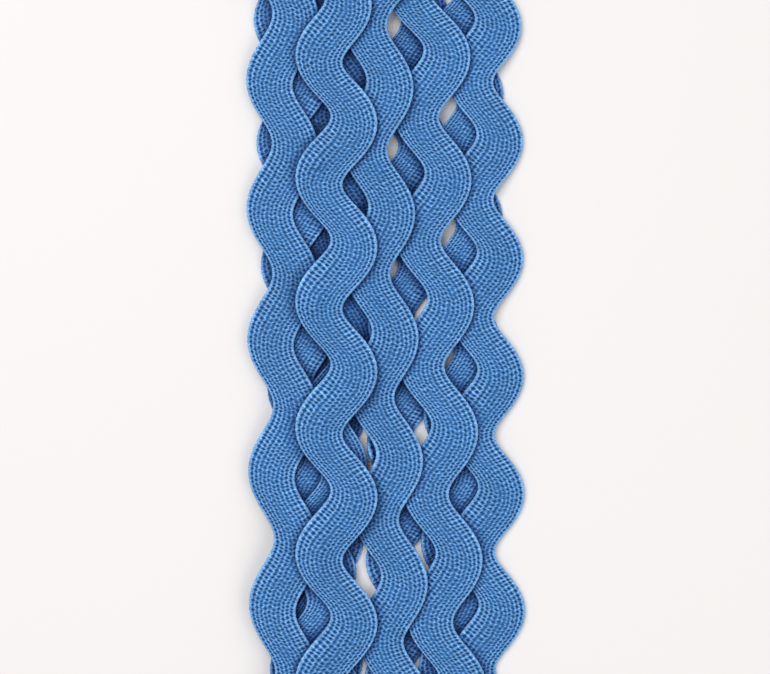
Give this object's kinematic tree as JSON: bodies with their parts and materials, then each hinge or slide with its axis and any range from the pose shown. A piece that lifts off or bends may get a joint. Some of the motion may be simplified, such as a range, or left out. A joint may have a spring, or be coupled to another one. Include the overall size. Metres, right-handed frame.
{
  "type": "roll of ric rac",
  "caption": "Flat roll of wide wavy ric rac braid, wound lengthwise in long overlapping turns with a loop at each end, lying on its back.",
  "frame": {"origin": "middle of the underside of the roll", "axes": "+Z out of the roll's face, +Y along its runs, +X across them to the right as seen on the face"},
  "size_m": [0.0586, 0.2326, 0.0076],
  "materials": {
    "braid": "satin"
  },
  "bodies": {
    "root": {"ric_rac": "braid"}
  },
  "joints": []
}
